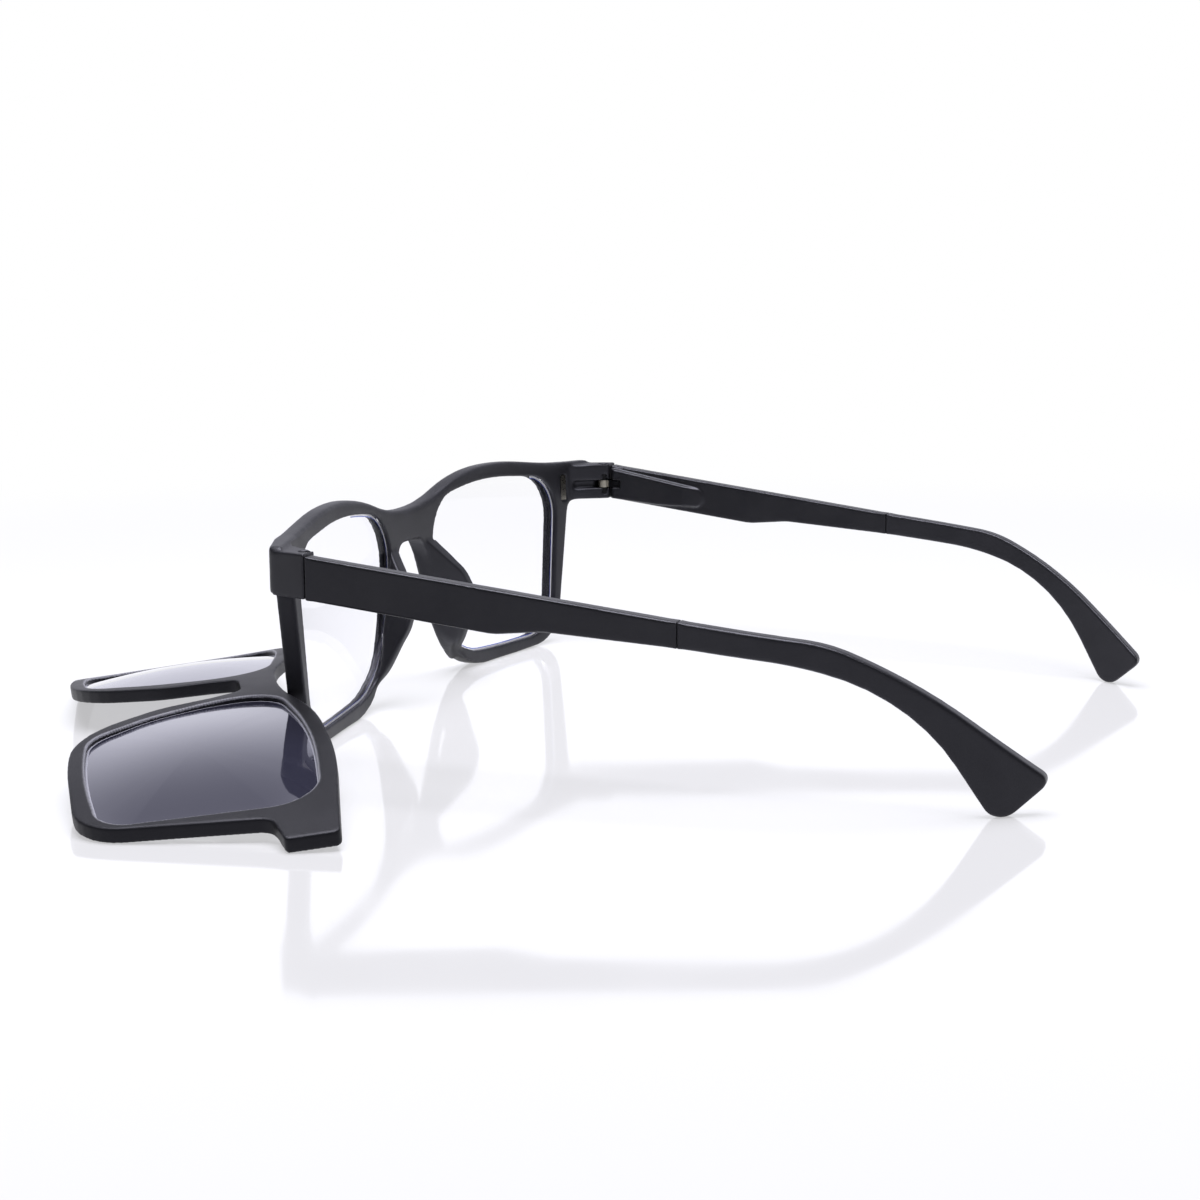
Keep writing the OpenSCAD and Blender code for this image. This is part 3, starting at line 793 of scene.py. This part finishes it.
spring_start, spring_len = 1.2, 8.0
spring_r, spring_wire = 0.86, 0.16
group = spring_nodes()
values = {
    "Turns": 7.0,
    "Coil Radius": (spring_r - spring_wire) * MM,
    "Length": (spring_len - 2 * spring_wire) * MM,
    "Wire Radius": spring_wire * MM,
    "Material": spring_steel,
}
holder = bpy.data.objects.new("spring_holder", bpy.data.meshes.new("spring_holder"))
bpy.context.scene.collection.objects.link(holder)
coil = holder.modifiers.new("coil", "NODES")
coil.node_group = group
for item in group.interface.items_tree:
    if item.in_out == "INPUT":
        coil[item.identifier] = values[item.name]
bpy.context.view_layer.update()
spring = bpy.data.meshes.new_from_object(holder.evaluated_get(bpy.context.evaluated_depsgraph_get()))
bpy.data.objects.remove(holder)
for side, sign in SIDES.items():
    place = (
        temple_place[side]
        @ Matrix.Translation((sign * ROD_START[0], *ROD_START[1:]))
        @ Matrix.Rotation(math.radians(-90 - ROD_DROP), 4, "X")
        @ Matrix.Translation((0, 0, spring_start + spring_wire))
    )
    mesh = spring.copy()
    put(mesh, place)
    mesh.shade_smooth()
    finish_piece(mesh, f"hinge_coil_{side}", f"temple_{side}", "spring_steel", f"hinge_spring_{side}")
    print(side, "coil", len(mesh.polygons), "faces")

# %% [markdown]
# ## Metal parts
# Magnets, hinge leaves, screws, stops and wire cores keep their construction shapes, which are
# small and mostly out of sight. Each gets the finish of its metal.

# %% Metal parts
finishes = {
    "front_magnet": magnet_nickel,
    "clip_magnet": magnet_nickel,
    "hinge_front_leaf": leaf_black,
    "hinge_temple_leaf": hinge_silver,
    "hinge_screw": screw_steel,
    "spring_stop": stop_brass,
    "tip_core": core_wire,
}
for part, paint in finishes.items():
    for side in SIDES:
        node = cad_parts[f"{part}_{side}"]
        node.data.materials.clear()
        node.data.materials.append(paint[side] if isinstance(paint, dict) else paint)
print("painted:", ", ".join(finishes))

# %% [markdown]
# ## Table, light and camera
# The set stands on glossy white acrylic in a white room. The acrylic mirrors the glasses softly,
# gives back light that has spread inside it, and loses itself in white further out. A broad soft
# box hangs above, and the far side of the room is brighter than the camera's side, which keeps the
# near faces of the temples dark. The camera itself sees plain white, past the pieces and through a
# lens.

# %% Table
made, tree, out = material("white_acrylic_table")
where = add(tree, "ShaderNodeTexCoord").outputs["Object"]
reach = add(tree, "ShaderNodeVectorMath", {"operation": "LENGTH"}, Vector=where).outputs["Value"]
away = add(
    tree,
    "ShaderNodeMapRange",
    {"interpolation_type": "SMOOTHSTEP"},
    Value=reach,
    From_Min=0.22,
    From_Max=0.42,
).outputs[0]
haze = noise(tree, 40.0, 2.0, 0.05, 0.09)
lit = add(tree, "ShaderNodeBsdfDiffuse", Color=(0.155, 0.155, 0.161, 1)).outputs[0]
mirror = add(tree, "ShaderNodeBsdfGlossy", Color=(0.23, 0.235, 0.225, 1), Roughness=haze).outputs[0]
inside = add(tree, "ShaderNodeEmission", Color=(0.985, 0.98, 1.0, 1), Strength=0.5).outputs[0]
surface = add(tree, "ShaderNodeAddShader", Shader_0=lit, Shader_1=mirror).outputs[0]
acrylic = add(tree, "ShaderNodeAddShader", Shader_0=surface, Shader_1=inside).outputs[0]
white = add(tree, "ShaderNodeEmission", Color=(1, 1, 1, 1), Strength=1.0).outputs[0]
mixed = add(tree, "ShaderNodeMixShader", Fac=away, Shader_0=acrylic, Shader_1=white)
tree.links.new(mixed.outputs[0], out.inputs[0])

table_mesh = bpy.data.meshes.new("table")
half_side = 3.0
just_below = -0.00002
corners = [(x * half_side, y * half_side, just_below) for x, y in ((-1, -1), (1, -1), (1, 1), (-1, 1))]
table_mesh.from_pydata(corners, [], [(0, 1, 2, 3)])
table_mesh.materials.append(made)
table = bpy.data.objects.new("table", table_mesh)
bpy.context.scene.collection.objects.link(table)
print("table:", 2 * half_side, "m across")

# %% Light
look = Vector((-0.91753149, -0.35854157, -0.17199973))
world = bpy.data.worlds.new("white_room")
bpy.context.scene.world = world
world.use_nodes = True
world.node_tree.nodes.clear()
tree = world.node_tree
out = tree.nodes.new("ShaderNodeOutputWorld")
ray = add(tree, "ShaderNodeLightPath").outputs
direction = add(tree, "ShaderNodeTexCoord").outputs["Generated"]
ahead = add(
    tree,
    "ShaderNodeVectorMath",
    {"operation": "DOT_PRODUCT"},
    Vector_0=direction,
    Vector_1=(look.x, look.y, 0.0),
).outputs["Value"]
room = add(
    tree,
    "ShaderNodeMapRange",
    {"interpolation_type": "SMOOTHSTEP"},
    Value=ahead,
    From_Min=0.0,
    From_Max=0.9,
    To_Min=0.03,
    To_Max=1.0,
).outputs[0]
height = add(tree, "ShaderNodeSeparateXYZ", Vector=direction).outputs["Z"]
dim = add(
    tree,
    "ShaderNodeMapRange",
    {"interpolation_type": "SMOOTHSTEP"},
    Value=height,
    From_Min=0.2,
    From_Max=0.8,
    To_Min=1.0,
    To_Max=0.3,
).outputs[0]
room = add(tree, "ShaderNodeMath", {"operation": "MULTIPLY"}, Value_0=room, Value_1=dim).outputs[0]
direct = add(
    tree,
    "ShaderNodeMath",
    {"operation": "LESS_THAN"},
    Value_0=ray["Glossy Depth"],
    Value_1=0.5,
).outputs[0]
through = add(
    tree,
    "ShaderNodeMath",
    {"operation": "MULTIPLY"},
    Value_0=ray["Is Transmission Ray"],
    Value_1=direct,
).outputs[0]
seen = add(
    tree,
    "ShaderNodeMath",
    {"operation": "MAXIMUM"},
    Value_0=ray["Is Camera Ray"],
    Value_1=through,
).outputs[0]
level = add(tree, "ShaderNodeMath", {"operation": "MAXIMUM"}, Value_0=seen, Value_1=room).outputs[0]
cast = add(
    tree,
    "ShaderNodeMix",
    {"data_type": "RGBA"},
    Factor=seen,
    A=(0.9, 0.9, 1.0, 1),
    B=(1, 1, 1, 1),
).outputs[2]
shine = add(tree, "ShaderNodeBackground", Color=cast, Strength=level)
tree.links.new(shine.outputs[0], out.inputs[0])


def soft_box(name, place, aim, wide, deep, watts):
    lamp = bpy.data.lights.new(name, "AREA")
    lamp.shape = "RECTANGLE"
    lamp.size, lamp.size_y, lamp.energy = wide, deep, watts
    lamp.color = (0.96, 0.955, 1.0)
    box = bpy.data.objects.new(name, lamp)
    box.location = place
    box.rotation_mode = "QUATERNION"
    box.rotation_quaternion = (Vector(aim) - Vector(place)).to_track_quat("-Z", "Y")
    bpy.context.scene.collection.objects.link(box)


soft_box("soft_box_above", (0.05, 0.0, 0.8), (0, 0, 0), 0.7, 0.7, 17.0)

# %% [markdown]
# ## Camera
# The camera stands low at the wearer's left and a little behind, at a normal focal length. Its place
# was found by matching the corners of the construction model to the same corners in the picture.

# %% Camera
camera_place = Vector((0.37447, 0.15768, 0.09483))
roll = math.radians(-0.29)
lens = bpy.data.cameras.new("camera")
lens.sensor_width = 36.0
lens.lens = 67.31
lens.clip_start, lens.clip_end = 0.01, 50.0
camera = bpy.data.objects.new("camera", lens)
right = look.cross(Vector((0, 0, 1))).normalized()
up = right.cross(look).normalized()
right, up = (
    right * math.cos(roll) + up * math.sin(roll),
    up * math.cos(roll) - right * math.sin(roll),
)
pose = Matrix((right, up, -look.normalized())).transposed().to_4x4()
pose.translation = camera_place
camera.matrix_world = pose
bpy.context.scene.collection.objects.link(camera)
bpy.context.scene.camera = camera
bpy.context.scene.view_settings.view_transform = "Standard"
print("camera at", [round(v, 3) for v in camera.location])
